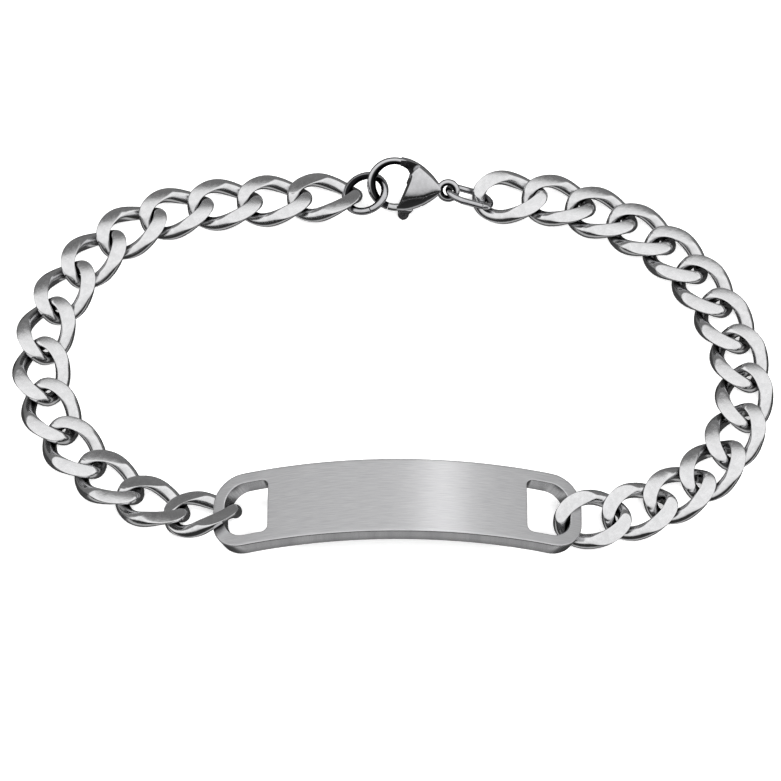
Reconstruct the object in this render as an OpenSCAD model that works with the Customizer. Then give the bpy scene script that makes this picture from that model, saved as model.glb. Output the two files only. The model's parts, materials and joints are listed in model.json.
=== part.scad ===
// Identity bracelet lying flat as a closed loop. All sizes are millimetres.
// X runs along the plate, Y leads from the plate to the clasp, Z is up.

/* [Plate] */
// width of the plate across the strap
plate_w = 9.8; // [9.4:0.1:10.2]
// thickness of the plate
plate_t = 2.05; // [1.9:0.05:2.1]
// radius of the arch, measured on the top face
arch_r = 51; // [50:0.5:52]
// angle from the crown to either end of the plate
arch_deg = 25.05; // [24.9:0.05:25.1]
// radius of the plate's outer corners
corner_r = 3.7; // [3:0.1:4]
// angle from the crown to the straight inner wall of an end hole
hole_in_deg = 17.28; // [16:0.1:17.5]
// width of the bar left at each end
bar_w = 1.5; // [1.3:0.05:1.55]
// length of an end hole across the plate
hole_w = 7; // [6.8:0.1:7.2]
// corner radius at the hole's straight wall
hole_in_r = 0.8; // [0.5:0.1:1.2]
// corner radius at the hole's outer wall
hole_out_r = 2.5; // [2:0.1:2.8]
// depth taken off the underside of each end bar for the end link
relief_t = 0.85; // [0.8:0.05:0.9]

/* [Links] */
// outside length of a curb link
link_len = 9.3; // [9.2:0.05:9.4]
// outside width of a curb link
link_w = 7; // [6.8:0.1:7.1]
// wire half thickness at the two ends of a link
wire_end = 0.72; // [0.65:0.01:0.74]
// wire half width along the two arms of a link
wire_side = 0.9; // [0.8:0.02:0.92]
// wire half height before grinding
wire_rise = 0.74; // [0.66:0.02:0.76]
// twist of the loop from its middle to each end
link_twist = 50; // [48:0.5:52]
// half of the thickness left after both faces are ground flat
ground = 1.03; // [1:0.01:1.06]

/* [Rings] */
// wire radius of the round jump ring
round_wire = 0.46; // [0.4:0.01:0.47]
// centre-line radius of the round jump ring
round_r = 2.53; // [2.5:0.01:2.55]
// wire radius of the oval jump ring
oval_wire = 0.4; // [0.35:0.01:0.42]
// outside length of the oval jump ring
oval_len = 6.3; // [6.25:0.01:6.32]
// outside width of the oval jump ring
oval_w = 4.3; // [4.2:0.02:4.4]

/* [Clasp] */
// centre-line radius of the hook
hook_r = 2.9; // [2.85:0.01:2.92]
// wire radius of the hook
hook_wire = 0.45; // [0.4:0.01:0.46]
// distance from the tail loop's centre to the hook's centre
hook_x = 6.55; // [6.5:0.05:6.6]
// half thickness of the swelling body at its fullest
body_t = 1.45; // [1.35:0.05:1.55]
// centre-line radius of the tail loop
tail_r = 0.98; // [0.95:0.01:1]
// wire radius of the tail loop
tail_wire = 0.36; // [0.32:0.01:0.38]
// radius of the lever's pin
pin_r = 0.35; // [0.3:0.01:0.36]
// lever turned in from its closed place, zero when shut
lever_open = 0; // [0:1:20]

/* [Hidden] */
// steps round a link's loop and sides of its wire
loop_steps = 16;
wire_sides = 6;
// squareness of the loop, below 1 fills out its corners
fullness = 0.86;
// slack added to the bores the pin passes through
pin_fit = 0.01;
lever_fit = 0.04;
// half thickness of the lever's nose, of its arm, and of the slot it swings in
lever_t = 0.44;
arm_t = 0.41;
slot_t = 0.5;
// radius of the ball that rounds off the nose, a little inside the nose's wire
nose_ball = 0.42;
// pivot of the lever in the clasp's own frame, and the hook's centre
pivot = [3.9, 1.35];
hook_at = [hook_x, -0.12];
// angles on the hook's circle: root and tip of the hook, nose and root of the lever
hook_root_deg = -120;
hook_tip_deg = 70;
nose_deg = 84;
lever_root_deg = 125;
// space left for the lever's nose under the tip of the hook
nose_gap = 0.07;

// how far a corner's arc runs past the plate's long edge before it meets it
corner_lap = 0.04;

// derived sizes
arch_in = arch_r - plate_t;
arch_mid = arch_r - plate_t / 2;
hole_out_deg = arch_deg - bar_w / arch_r * 180 / PI;
hole_mid_deg = (hole_in_deg + hole_out_deg) / 2;
hole_half = (hole_out_deg - hole_in_deg) * PI / 180 * arch_r / 2;
loop_a = link_len / 2 - wire_end;
loop_b = link_w / 2 - wire_side;
end_foot = arch_in * cos(arch_deg);
nose_at = hook_at + hook_r * [cos(nose_deg), sin(nose_deg)];
nose_reach = norm(nose_at - pivot) + lever_t + nose_gap;

// place of the plate: [x, y, height of its feet above the surface]
plate_at = [0.8, -18.95, 0.69];
// shift that brings the whole bracelet over the origin
centring = [-0.19, -3.48, 0];

// how each link lies, from the clasp to the plate:
// [x, y, z, heading, roll, tilt]
left_lie = [
    [-8.06, 27.25, 1.33, -179.93, 6.35, -3.96],
    [-14.21, 26.98, 1.03, -175.3, 0, 0],
    [-20.25, 26.43, 1.03, -174.4, 0, 0],
    [-26.17, 25.26, 1.03, -163.2, 0, 0],
    [-31.58, 22.69, 1.03, -146, 0, 0],
    [-36.06, 18.69, 1.03, -130.5, 0, 0],
    [-39.41, 13.68, 1.03, -117.1, 0, 0],
    [-41.42, 8.02, 1.03, -102, 0, 0],
    [-41.79, 2.04, 1.03, -84.9, 0, 0],
    [-40.4, -3.8, 1.03, -68.4, 0, 0],
    [-37.44, -9.02, 1.03, -52.4, 0, 0],
    [-33.16, -13.45, 1.23, -39.04, -4, 2.9],
    [-27.9, -16.77, 1.475, -24.83, -9.58, 2.19],
    [-22, -18.37, 1.99, -0.59, -19.5, 9.18]
];
right_lie = [
    [14.63, 27.34, 1.28, 5.21, 5.92, -3.72],
    [20.62, 26.71, 1.03, -16.7, 0, 0],
    [25.78, 24.79, 1.03, -23.9, 0, 0],
    [30.57, 22.1, 1.03, -34.7, 0, 0],
    [34.66, 18.47, 1.03, -48.6, 0, 0],
    [37.87, 14.03, 1.03, -59.9, 0, 0],
    [40.26, 9.08, 1.03, -68.4, 0, 0],
    [41.82, 3.82, 1.03, -78.5, 0, 0],
    [42.16, -1.62, 1.03, -94.4, 0, 0],
    [40.86, -6.9, 1.03, -113.1, 0, 0],
    [37.98, -11.51, 1.03, -130.8, 0, 0],
    [33.96, -14.97, 1.18, -149.21, -2.97, 0.51],
    [29.17, -17.58, 1.51, -159.84, -10.57, 2.6],
    [23.6, -19.19, 2.12, -171.97, -22.47, 4.75]
];
// the same columns for the two jump rings and the clasp
round_lie = [-3.09, 27.2, 2.2, 0, 3.28, 18.1];
oval_lie = [9.66, 26.74, 2.16, -1.99, -29.29, -23.02];
clasp_lie = [7.05, 27, 3.12, 173.25, -47.05, 0.63];

// puts a piece drawn about the origin where a row of the tables says
module lay(p)
    translate([p[0], p[1], p[2]] + centring)
        rotate([0, 0, p[3]])
            rotate([0, -p[5], 0])
                rotate([p[4], 0, 0])
                    children();

// signed power, keeps the sign of a sine or cosine
function spow(v, e) = sign(v) * pow(abs(v), e);

// twist of the loop at a distance x from its middle
function twist_at(x) = link_twist * x / loop_a;

// point of the wire's centre line at angle t round the loop
function loop_pt(t) =
    let (x = loop_a * spow(cos(t), fullness), u = loop_b * spow(sin(t), fullness))
    [x, u * cos(twist_at(x)), -u * sin(twist_at(x))];

function unit(v) = v / norm(v);

// one six-sided section of the wire at angle t round the loop
function wire_section(t) =
    let (
        c = loop_pt(t),
        along = unit(loop_pt(t + 0.01) - loop_pt(t - 0.01)),
        up = [0, sin(twist_at(c[0])), cos(twist_at(c[0]))],
        out = unit(cross(along, up)),
        rise = cross(out, along),
        w = wire_end + (wire_side - wire_end) * pow(sin(t), 2)
    )
    [for (k = [0 : wire_sides - 1])
        c + w * cos(k * 360 / wire_sides) * out
          + wire_rise * sin(k * 360 / wire_sides) * rise];

// quads that join each section to the next, closing round the loop
function loop_faces() = [
    for (i = [0 : loop_steps - 1], k = [0 : wire_sides - 1])
        let (
            j = (i + 1) % loop_steps,
            m = (k + 1) % wire_sides
        )
        each [
            [i * wire_sides + k, j * wire_sides + m, i * wire_sides + m],
            [i * wire_sides + k, j * wire_sides + k, j * wire_sides + m]
        ]
];

// one curb link: a twisted wire loop with both faces ground flat
module curb_link()
    intersection() {
        polyhedron(
            points = [for (i = [0 : loop_steps - 1]) each wire_section(i * 360 / loop_steps)],
            faces = loop_faces(),
            convexity = 8
        );
        cube([link_len + 2, link_w + 2, 2 * ground], center = true);
    }

module left_link(n)
    color([0.74, 0.74, 0.75])
        lay(left_lie[n - 1])
            curb_link();

module right_link(n)
    color([0.74, 0.74, 0.75])
        lay(right_lie[n - 1])
            curb_link();

// points along an arc of n steps about a centre
function arc_pts(centre, radius, from, to, n) = [
    for (i = [0 : n])
        let (t = from + (to - from) * i / n)
        centre + radius * [cos(t), sin(t)]
];

// outline of an end hole, straight wall towards the crown
module hole_outline() {
    in_x = -hole_half + hole_in_r;
    out_x = hole_half - hole_out_r;
    in_y = hole_w / 2 - hole_in_r;
    out_y = hole_w / 2 - hole_out_r;
    polygon(concat(
        arc_pts([out_x, out_y], hole_out_r, 0, 90, 8),
        arc_pts([in_x, in_y], hole_in_r, 90, 180, 4),
        arc_pts([in_x, -in_y], hole_in_r, 180, 270, 4),
        arc_pts([out_x, -out_y], hole_out_r, 270, 360, 8)
    ));
}

// everything outside the plate's rounded end, in the end's own frame
module corner_outline(end_x) {
    h = plate_w / 2;
    difference() {
        translate([end_x - corner_r, -h - 1])
            square([corner_r + 4, plate_w + 2]);
        translate([end_x - corner_r - 1, -h + corner_r])
            square([corner_r + 1, plate_w - 2 * corner_r]);
        for (s = [-1, 1])
            translate([end_x - corner_r, s * (h - corner_r + corner_lap)])
                circle(r = corner_r, $fn = 48);
    }
}

// all that is cut away at one end of the plate
module end_cuts() {
    back = 2.5;
    end_x = arch_mid * tan(back);
    rotate([0, arch_deg - back, 0])
        translate([0, 0, arch_mid - 4])
            linear_extrude(8)
                corner_outline(end_x);
    rotate([0, hole_mid_deg, 0])
        translate([0, 0, arch_mid]) {
            translate([0, 0, -4])
                linear_extrude(8)
                    hole_outline();
            translate([hole_half - 0.3, -3.4, -plate_t / 2 - 2])
                cube([6, 6.8, 2 + relief_t]);
        }
}

// the arched plate, its two D-shaped holes and the reliefs under its end bars
module plate()
    color([0.68, 0.68, 0.69])
        translate(plate_at + centring)
            translate([0, 0, -end_foot])
                difference() {
                    rotate([-90, 0, 0])
                        rotate([0, 0, -90 - arch_deg])
                            rotate_extrude(angle = 2 * arch_deg, $fn = 360)
                                translate([arch_in, -plate_w / 2])
                                    square([plate_t, plate_w]);
                    for (turn = [0, 180])
                        rotate([0, 0, turn])
                            end_cuts();
                }

module round_ring()
    color([0.7, 0.7, 0.71])
        lay(round_lie)
            rotate_extrude($fn = 64)
                translate([round_r, 0])
                    circle(r = round_wire, $fn = 24);

module oval_ring() {
    bend = oval_w / 2 - oval_wire;
    reach = oval_len / 2 - oval_w / 2;
    color([0.7, 0.7, 0.71])
        lay(oval_lie)
            union() {
                for (s = [0, 180])
                    rotate([0, 0, s])
                        translate([reach, 0, 0])
                            rotate([0, 0, -90])
                                rotate_extrude(angle = 180, $fn = 64)
                                    translate([bend, 0])
                                        circle(r = oval_wire, $fn = 24);
                for (s = [-1, 1])
                    translate([-reach, s * bend, 0])
                        rotate([0, 90, 0])
                            cylinder(r = oval_wire, h = 2 * reach, $fn = 24);
            }
}

// part of a torus between two angles
module arc_wire(radius, wire, from, to)
    rotate([0, 0, from])
        rotate_extrude(angle = to - from, $fn = 64)
            translate([radius, 0])
                circle(r = wire, $fn = 24);

// a thick lens, two ball caps back to back
module lens(x, half, ball) {
    intersection() {
        translate([x, 0, half - ball])
            sphere(r = ball, $fn = 64);
        translate([x, 0, ball - half])
            sphere(r = ball, $fn = 64);
    }
}

// seen from above: the teardrop between the tail loop and the hook
module teardrop_outline()
    polygon([
        [1, -0.4], [1.6, -1.1], [2.2, -1.75], [3.15, -2.6], [4.3, -3.2], [5.3, -3.4], [6, -3.3],
        [6, -2.55], [5.2, -2.15], [4.85, -1.5], [5.5, 0.6], [6.1, 2.45], [6.1, 3.2], [5.4, 3.15],
        [4.6, 2.95], [3.7, 2.6], [2.8, 2.1], [1.9, 1.4], [1, 0.5]
    ]);

// seen from above: the space the lever swings in
module slot_outline() {
    polygon([
        [3, 0.75], [3.9, 0.3], [5, -0.3], [6.6, -0.9], [6.9, 3.9], [3.6, 3.9], [2.95, 2.6]
    ]);
    translate(pivot)
        circle(r = 1.02, $fn = 48);
}

// what the lever's nose sweeps through, cut out of the tip of the hook
module nose_path()
    intersection() {
        translate([pivot[0], pivot[1], -1])
            cylinder(r = nose_reach, h = 2);
        translate([hook_x, 1, -2])
            cube([1.6, 3, 4]);
    }

module clasp_body()
    color([0.66, 0.66, 0.68])
        lay(clasp_lie)
            difference() {
                union() {
                    translate(hook_at)
                        arc_wire(hook_r, hook_wire, hook_root_deg, hook_tip_deg);
                    intersection() {
                        linear_extrude(6, center = true)
                            teardrop_outline();
                        lens(3.9, body_t, 7);
                    }
                    rotate_extrude($fn = 64)
                        translate([tail_r, 0])
                            circle(r = tail_wire, $fn = 24);
                }
                linear_extrude(2 * slot_t, center = true)
                    slot_outline();
                translate([pivot[0], pivot[1], -3])
                    cylinder(r = pin_r + pin_fit, h = 6, $fn = 48);
                nose_path();
            }

// seen from above: boss and arm of the lever
module lever_outline() {
    translate(pivot)
        circle(r = 0.85, $fn = 48);
    polygon([[3.9, 0.5], [5, 1.2], [5.4, 1.75], [5.5, 2.5], [5, 3], [4.2, 2.7], [3.2, 2]]);
}

// seen from above: the thumb tab
module tab_outline()
    polygon(concat([[4.25, 2.3], [5.95, 2.3]], arc_pts([5.1, 3.35], 0.85, 0, 180, 10)));

module clasp_lever()
    color([0.72, 0.72, 0.74])
        lay(clasp_lie)
            translate(pivot)
                rotate([0, 0, -lever_open])
                    translate(-pivot)
                        difference() {
                            union() {
                                linear_extrude(2 * arm_t, center = true)
                                    lever_outline();
                                linear_extrude(arm_t)
                                    tab_outline();
                                translate(hook_at)
                                    arc_wire(hook_r, lever_t, nose_deg, lever_root_deg);
                                translate(hook_at)
                                    rotate([0, 0, nose_deg])
                                        translate([hook_r, 0, 0])
                                            sphere(r = nose_ball, $fn = 24);
                            }
                            translate([pivot[0], pivot[1], -2])
                                cylinder(r = pin_r + lever_fit, h = 4, $fn = 48);
                        }

module clasp_pin()
    color([0.6, 0.6, 0.62])
        lay(clasp_lie)
            translate([pivot[0], pivot[1], -1.2])
                cylinder(r = pin_r, h = 2.4, $fn = 48);

plate();
left_link(1);  // left_link_01
left_link(2);  // left_link_02
left_link(3);  // left_link_03
left_link(4);  // left_link_04
left_link(5);  // left_link_05
left_link(6);  // left_link_06
left_link(7);  // left_link_07
left_link(8);  // left_link_08
left_link(9);  // left_link_09
left_link(10);  // left_link_10
left_link(11);  // left_link_11
left_link(12);  // left_link_12
left_link(13);  // left_link_13
left_link(14);  // left_link_14
right_link(1);  // right_link_01
right_link(2);  // right_link_02
right_link(3);  // right_link_03
right_link(4);  // right_link_04
right_link(5);  // right_link_05
right_link(6);  // right_link_06
right_link(7);  // right_link_07
right_link(8);  // right_link_08
right_link(9);  // right_link_09
right_link(10);  // right_link_10
right_link(11);  // right_link_11
right_link(12);  // right_link_12
right_link(13);  // right_link_13
right_link(14);  // right_link_14
round_ring();
oval_ring();
clasp_body();
clasp_lever();
clasp_pin();
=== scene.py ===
"""Dresses an identity bracelet that lies flat as a closed loop.

Every piece is a surface worked out with numpy, its sizes in millimetres. Its place is read off the
frame: a symmetric solid gives its centre and main axes, the plate's solid its box, and the lever's
joint the clasp's pivot.
"""

import json
import logging
import math
from collections.abc import Sequence
from dataclasses import dataclass, field
from enum import Enum

import bmesh
import bpy
import numpy as np
from mathutils import Matrix, Vector


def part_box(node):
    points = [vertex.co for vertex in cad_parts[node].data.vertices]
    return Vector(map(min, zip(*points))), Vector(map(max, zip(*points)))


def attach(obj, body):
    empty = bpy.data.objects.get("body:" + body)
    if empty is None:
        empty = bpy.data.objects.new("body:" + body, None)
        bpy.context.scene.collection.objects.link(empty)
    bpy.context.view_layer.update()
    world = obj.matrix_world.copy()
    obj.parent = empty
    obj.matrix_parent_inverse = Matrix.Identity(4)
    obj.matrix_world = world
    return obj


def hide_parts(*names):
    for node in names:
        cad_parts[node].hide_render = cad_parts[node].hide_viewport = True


LOG = logging.getLogger("id_bracelet")

Place = tuple[float, float, float]
Pair = tuple[float, float]
Table = tuple[Pair, ...]
Look = bpy.types.Material
Piece = bpy.types.Object

MM = 0.001
PLATE_ARCH_MM = 51.0
BODY = "bracelet"
LEVER_BODY = "lever"
X_AXIS = np.array([1.0, 0.0, 0.0])
Y_AXIS = np.array([0.0, 1.0, 0.0])
Z_AXIS = np.array([0.0, 0.0, 1.0])
CREASE = math.radians(38)
WELD_M = 1e-7
DOME_LEAN = np.radians(np.linspace(80, 15, 5))
FILLET_TURN = np.radians(np.linspace(0, 90, 6))
INNER_SLOPE = 0.25
CORNER_POINTS = 13
END_POINTS = 5


class Side(Enum):
    """Which run of the chain, as its solids' names begin."""

    LEFT = "left"
    RIGHT = "right"


class Joining(Enum):
    """What one solid does to another."""

    ADD = "UNION"
    CUT = "DIFFERENCE"


class Brush(Enum):
    """Which way a surface's fine lines run, as its grain's scale along the piece's own axes."""

    NONE = (1.0, 1.0, 1.0)
    ALONG_X = (0.035, 1.0, 0.0)


def unit(v: np.ndarray) -> np.ndarray:
    """Scales the vectors in the last axis to length one."""
    return v / np.linalg.norm(v, axis=-1, keepdims=True)


def spow(v: np.ndarray, power: float) -> np.ndarray:
    """Raises to a power and keeps the sign: sign(v) |v| ** power."""
    return np.sign(v) * np.abs(v) ** power


def linear(code: str) -> tuple[float, float, float, float]:
    """Turns a screen colour into the linear light that shaders use.

    Args:
        code: six hexadecimal digits, red first.

    Returns:
        Red, green, blue and one for opacity.
    """
    parts = [int(code[i : i + 2], 16) / 255 for i in (0, 2, 4)]
    light = [c / 12.92 if c <= 0.04045 else ((c + 0.055) / 1.055) ** 2.4 for c in parts]
    return (light[0], light[1], light[2], 1.0)


def grid_quads(rows: int, cols: int, wrap_rows: bool, wrap_cols: bool) -> np.ndarray:
    """Joins a grid of points by quads.

    Args:
        rows: number of rows.
        cols: points in a row.
        wrap_rows: whether the last row joins the first.
        wrap_cols: whether each row closes on itself.

    Returns:
        An array of four point numbers to a quad.
    """
    i = np.arange(rows if wrap_rows else rows - 1)
    j = np.arange(cols if wrap_cols else cols - 1)
    i, j = np.meshgrid(i, j, indexing="ij")
    down, right = (i + 1) % rows, (j + 1) % cols
    corners = [i * cols + j, i * cols + right, down * cols + right, down * cols + j]
    return np.stack(corners, axis=-1).reshape(-1, 4)


def capped_grid(rows: int, cols: int) -> list[list[int]]:
    """Joins a row of rings by quads, and closes the first and the last ring with a face each."""
    faces = grid_quads(rows, cols, False, True).tolist()
    return [*faces, list(range(cols))[::-1], list(range((rows - 1) * cols, rows * cols))]


@dataclass
class Surface:
    """A closed surface in millimetres: its points, and faces as rows of point numbers.

    Each point may also say how far it is on a bow's inner side, where a dark reflection is painted into the
    colour.
    """

    points: np.ndarray
    faces: list[list[int]] = field(default_factory=list)
    inner: np.ndarray | None = None

    def facing_out(self) -> "Surface":
        """Turns all faces over if the volume that they close comes out negative.

        Returns:
            The surface with its faces pointing outwards.
        """
        total = 0.0
        for sides in sorted({len(f) for f in self.faces}):
            ring = np.array([f for f in self.faces if len(f) == sides])
            p = self.points[ring]
            for k in range(1, sides - 1):
                total += np.einsum("ij,ij->", p[:, 0], np.cross(p[:, k], p[:, k + 1]))
        if total < 0:
            self.faces = [f[::-1] for f in self.faces]
        return self

    def join(self, other: "Surface") -> "Surface":
        """Adds another surface beside this one.

        Args:
            other: the surface to add.

        Returns:
            One surface with the points and faces of both.
        """
        start = len(self.points)
        faces = self.faces + [[i + start for i in f] for f in other.faces]
        return Surface(np.vstack([self.points, other.points]), faces)


@dataclass(frozen=True)
class Sweep:
    """An oval section laid along a path.

    A section point at angle q is path + width cos(q) side + height sin(q) rise, with both the cosine
    and the sine raised to the squareness power.

    Attributes:
        path: centre points, one a row.
        side: unit vectors across the path; this and the next three are one a row or one for all.
        rise: unit vectors square to both.
        half_width, half_height: half sizes along side and along rise.
        sides: points round a section.
        squareness: below one fills out the section's corners.
    """

    path: np.ndarray
    side: np.ndarray
    rise: np.ndarray
    half_width: np.ndarray | float
    half_height: np.ndarray | float
    sides: int
    squareness: float = 1.0

    def points(self) -> np.ndarray:
        """Works the sections out.

        Returns:
            Their points, one section after another.
        """
        side, rise = (np.broadcast_to(v, self.path.shape)[:, None] for v in (self.side, self.rise))
        sizes = (self.half_width, self.half_height)
        wide, tall = (np.broadcast_to(v, len(self.path))[:, None] for v in sizes)
        q = np.arange(self.sides) * 2 * np.pi / self.sides
        across = (wide * spow(np.cos(q), self.squareness))[..., None] * side
        upward = (tall * spow(np.sin(q), self.squareness))[..., None] * rise
        return (self.path[:, None] + across + upward).reshape(-1, 3)

    def tube(self, dome: float = 1.0) -> Surface:
        """Closes both ends with domes, whose rows shrink as a cosine while they advance as a sine.

        Args:
            dome: how far an end's dome stands out, as a share of the section's smaller half size.

        Returns:
            The closed tube.
        """
        path, count = self.path, len(self.path)
        pick = np.clip(np.arange(count + 2 * len(DOME_LEAN)) - len(DOME_LEAN), 0, count - 1)
        side, rise = (np.broadcast_to(v, path.shape)[pick] for v in (self.side, self.rise))
        wide, tall = (np.broadcast_to(v, count)[pick] for v in (self.half_width, self.half_height))
        ahead, back = unit(path[-1] - path[-2]) * dome, unit(path[0] - path[1]) * dome
        first = path[0] + back * np.sin(DOME_LEAN)[:, None] * min(wide[0], tall[0])
        last = path[-1] + ahead * np.sin(DOME_LEAN[::-1])[:, None] * min(wide[-1], tall[-1])
        shrink = np.concatenate([np.cos(DOME_LEAN), np.ones(count), np.cos(DOME_LEAN[::-1])])
        centre = np.vstack([first, path, last])
        closed = Sweep(centre, side, rise, wide * shrink, tall * shrink, self.sides, self.squareness)
        return Surface(closed.points(), capped_grid(len(centre), self.sides)).facing_out()


def painted_dark_inner_side(points: np.ndarray, at: Pair, bow: float, wire: float, edge: float) -> np.ndarray:
    """Tells how far points of a bent wire are on the inner side of its bow, where a dark reflection is
    painted.

    Args:
        points: the wire's points.
        at: centre of the bow.
        bow: radius of the wire's centre line.
        wire: radius of the wire.
        edge: where the inner side starts, as a share of the wire's radius out from its centre line.

    Returns:
        One on the inner side and zero on the outer, with a short slope between.
    """
    from_centre = np.hypot(points[:, 0] - at[0], points[:, 1] - at[1])
    out = (from_centre - bow) / wire
    return np.clip((edge - out) / INNER_SLOPE, 0, 1)


def fillet_rows(fillet: float) -> tuple[np.ndarray, np.ndarray]:
    """Works out the rows of a wall whose first and last edge are quarter circles.

    Args:
        fillet: radius of both edges.

    Returns:
        How far each row is set in, and how far it is past the first or, as a negative number,
        short of the last edge.
    """
    inset = fillet * (1 - np.sin(FILLET_TURN))
    past = fillet * (1 - np.cos(FILLET_TURN))
    return np.concatenate([inset, inset[::-1]]), np.concatenate([past, -past[::-1]])


def slab(outline: np.ndarray, low: float, high: float, fillet: float) -> Surface:
    """Extrudes a flat outline and rounds its top and bottom edges.

    Args:
        outline: points of the outline in order either way round, two columns.
        low: height of the lower face.
        high: height of the upper face.
        fillet: radius of the rounded edges.

    Returns:
        The closed slab.
    """
    area = np.sum(outline[:, 0] * np.roll(outline[:, 1], -1) - outline[:, 1] * np.roll(outline[:, 0], -1))
    outline = outline if area > 0 else outline[::-1]
    forward = unit(np.roll(outline, -1, axis=0) - np.roll(outline, 1, axis=0))
    inward = np.stack([-forward[:, 1], forward[:, 0]], axis=1)
    inset, rise = fillet_rows(fillet)
    height = np.repeat([low, high], len(rise) // 2) + rise
    flat = outline[None] + inset[:, None, None] * inward[None]
    levels = np.broadcast_to(height[:, None, None], flat.shape[:2] + (1,))
    points = np.concatenate([flat, levels], axis=2)
    return Surface(points.reshape(-1, 3), capped_grid(len(height), len(outline))).facing_out()


def lie_of(node: str, across: Vector | None = None) -> Matrix:
    """Reads how a symmetric solid lies: its centre and its main axes, longest first.

    The solid's second moments are summed over the tetrahedra between its triangles and the origin,
    so the axes don't depend on how its faces were split.

    Args:
        node: name of the solid.
        across: a direction that the first axis follows, for a round solid with no longest axis.

    Returns:
        A matrix from the piece's own millimetres to the frame's metres, with its last axis up.
    """
    mesh = FRAME["nodes"][node].data
    mesh.calc_loop_triangles()
    co = np.empty(len(mesh.vertices) * 3)
    mesh.vertices.foreach_get("co", co)
    corners = np.empty(len(mesh.loop_triangles) * 3, dtype=np.int64)
    mesh.loop_triangles.foreach_get("vertices", corners)
    tri = co.reshape(-1, 3)[corners].reshape(-1, 3, 3)
    share = np.einsum("ij,ij->i", tri[:, 0], np.cross(tri[:, 1], tri[:, 2])) / 6
    total = share.sum()
    centre = (share[:, None] * tri.sum(axis=1)).sum(axis=0) / 4 / total
    own = tri - centre
    whole = own.sum(axis=1)
    moment = np.einsum("i,ija,ijb->ab", share, own, own) + np.einsum("i,ia,ib->ab", share, whole, whole)
    _, axes = np.linalg.eigh(moment / 20 / total)
    up = axes[:, 0] if axes[2, 0] > 0 else -axes[:, 0]
    long = axes[:, 2] if across is None else unit(np.array(across) - up * np.dot(across, up))
    place = np.eye(4)
    place[:3, :3] = np.stack([long, np.cross(up, long), up], axis=1) * MM
    place[:3, 3] = centre
    return Matrix(place)


def add_object(name: str, data: bpy.types.ID) -> Piece:
    """Puts a mesh, lamp or camera into the scene.

    Args:
        name: name of the object.
        data: what it shows.

    Returns:
        The new object, at the origin.
    """
    thing = bpy.data.objects.new(name, data)
    bpy.context.scene.collection.objects.link(thing)
    return thing


def make_piece(name: str, surface: Surface, place: Matrix, look: Look) -> Piece:
    """Makes a mesh object whose vertices are already in the frame's metres.

    Args:
        name: name of the piece.
        surface: its surface in millimetres.
        place: matrix from the piece's own millimetres to the frame.
        look: its material.

    Returns:
        The new object, at the origin.
    """
    turn = np.array(place)
    points = surface.points @ turn[:3, :3].T + turn[:3, 3]
    mesh = bpy.data.meshes.new(name)
    mesh.from_pydata(points.tolist(), [], surface.faces)
    mesh.materials.append(look)
    mark(mesh, surface.points, surface.inner)
    weld(mesh)
    mesh.polygons.foreach_set("use_smooth", np.ones(len(mesh.polygons), dtype=bool))
    return add_object(name, mesh)


def mark(mesh: bpy.types.Mesh, points: np.ndarray, inner: np.ndarray | None) -> None:
    """Writes each point's own place, and how far it is on a bow's inner side, where the materials paint a
    dark reflection.

    Args:
        mesh: the mesh, changed in place.
        points: its points in the piece's own millimetres.
        inner: one on an inner side and zero elsewhere, or none where there is no inner side.
    """
    # the second attribute is the mask of the dark reflection painted on the inner sides of bows
    values = {"own_mm": points, "painted_dark_inner_side": np.zeros(len(points)) if inner is None else inner}
    for name, value in values.items():
        if name in mesh.attributes:
            mesh.attributes.remove(mesh.attributes[name])
        kind, key = ("FLOAT_VECTOR", "vector") if value.ndim == 2 else ("FLOAT", "value")
        mesh.attributes.new(name, kind, "POINT").data.foreach_set(key, value.astype(np.float32).ravel())


def weld(mesh: bpy.types.Mesh) -> None:
    """Joins points that lie on one another and turns all faces outwards.

    Args:
        mesh: the mesh, changed in place.
    """
    work = bmesh.new()
    work.from_mesh(mesh)
    bmesh.ops.remove_doubles(work, verts=work.verts, dist=WELD_M)
    bmesh.ops.recalc_face_normals(work, faces=work.faces)
    work.to_mesh(mesh)
    work.free()


def carve(base: Piece, others: Sequence[tuple[Piece, Joining]]) -> None:
    """Adds solids to a piece or cuts them from it, and removes them.

    Args:
        base: the piece, changed in place.
        others: each solid, and what it does to the piece.
    """
    for other, joining in others:
        step = base.modifiers.new(other.name, "BOOLEAN")
        step.operation = joining.value
        step.solver = "EXACT"
        step.object = other
    graph = bpy.context.evaluated_depsgraph_get()
    result = bpy.data.meshes.new_from_object(base.evaluated_get(graph), depsgraph=graph)
    old = base.data
    base.modifiers.clear()
    base.data = result
    result.name = base.name
    bpy.data.meshes.remove(old)
    for other, _ in others:
        solid = other.data
        bpy.data.objects.remove(other)
        bpy.data.meshes.remove(solid)
    result.polygons.foreach_set("use_smooth", np.ones(len(result.polygons), dtype=bool))
    result.set_sharp_from_angle(angle=CREASE)


def settle(piece: Piece, body: str, node: str) -> Piece:
    """Ties a finished piece to the frame.

    Args:
        piece: the piece.
        body: the body that it moves with.
        node: the solid that it stands for.

    Returns:
        The same piece.
    """
    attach(piece, body)
    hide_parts(node)
    return piece


def add_node(
    tree: bpy.types.NodeTree, kind: str, inputs: dict | None = None, **settings: object
) -> bpy.types.Node:
    """Adds a node with its settings and links, or sets the one that the tree has by that name.

    Args:
        tree: the tree of a material or of the world.
        kind: type of the new node, or name of the one that is there.
        inputs: values or sockets for its inputs, by input name or number.
        settings: properties of the node.

    Returns:
        The node.
    """
    node = tree.nodes.get(kind) or tree.nodes.new(kind)
    for key, value in settings.items():
        setattr(node, key, value)
    for key, value in (inputs or {}).items():
        if isinstance(value, bpy.types.NodeSocket):
            tree.links.new(value, node.inputs[key])
        else:
            node.inputs[key].default_value = value
    return node


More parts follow.
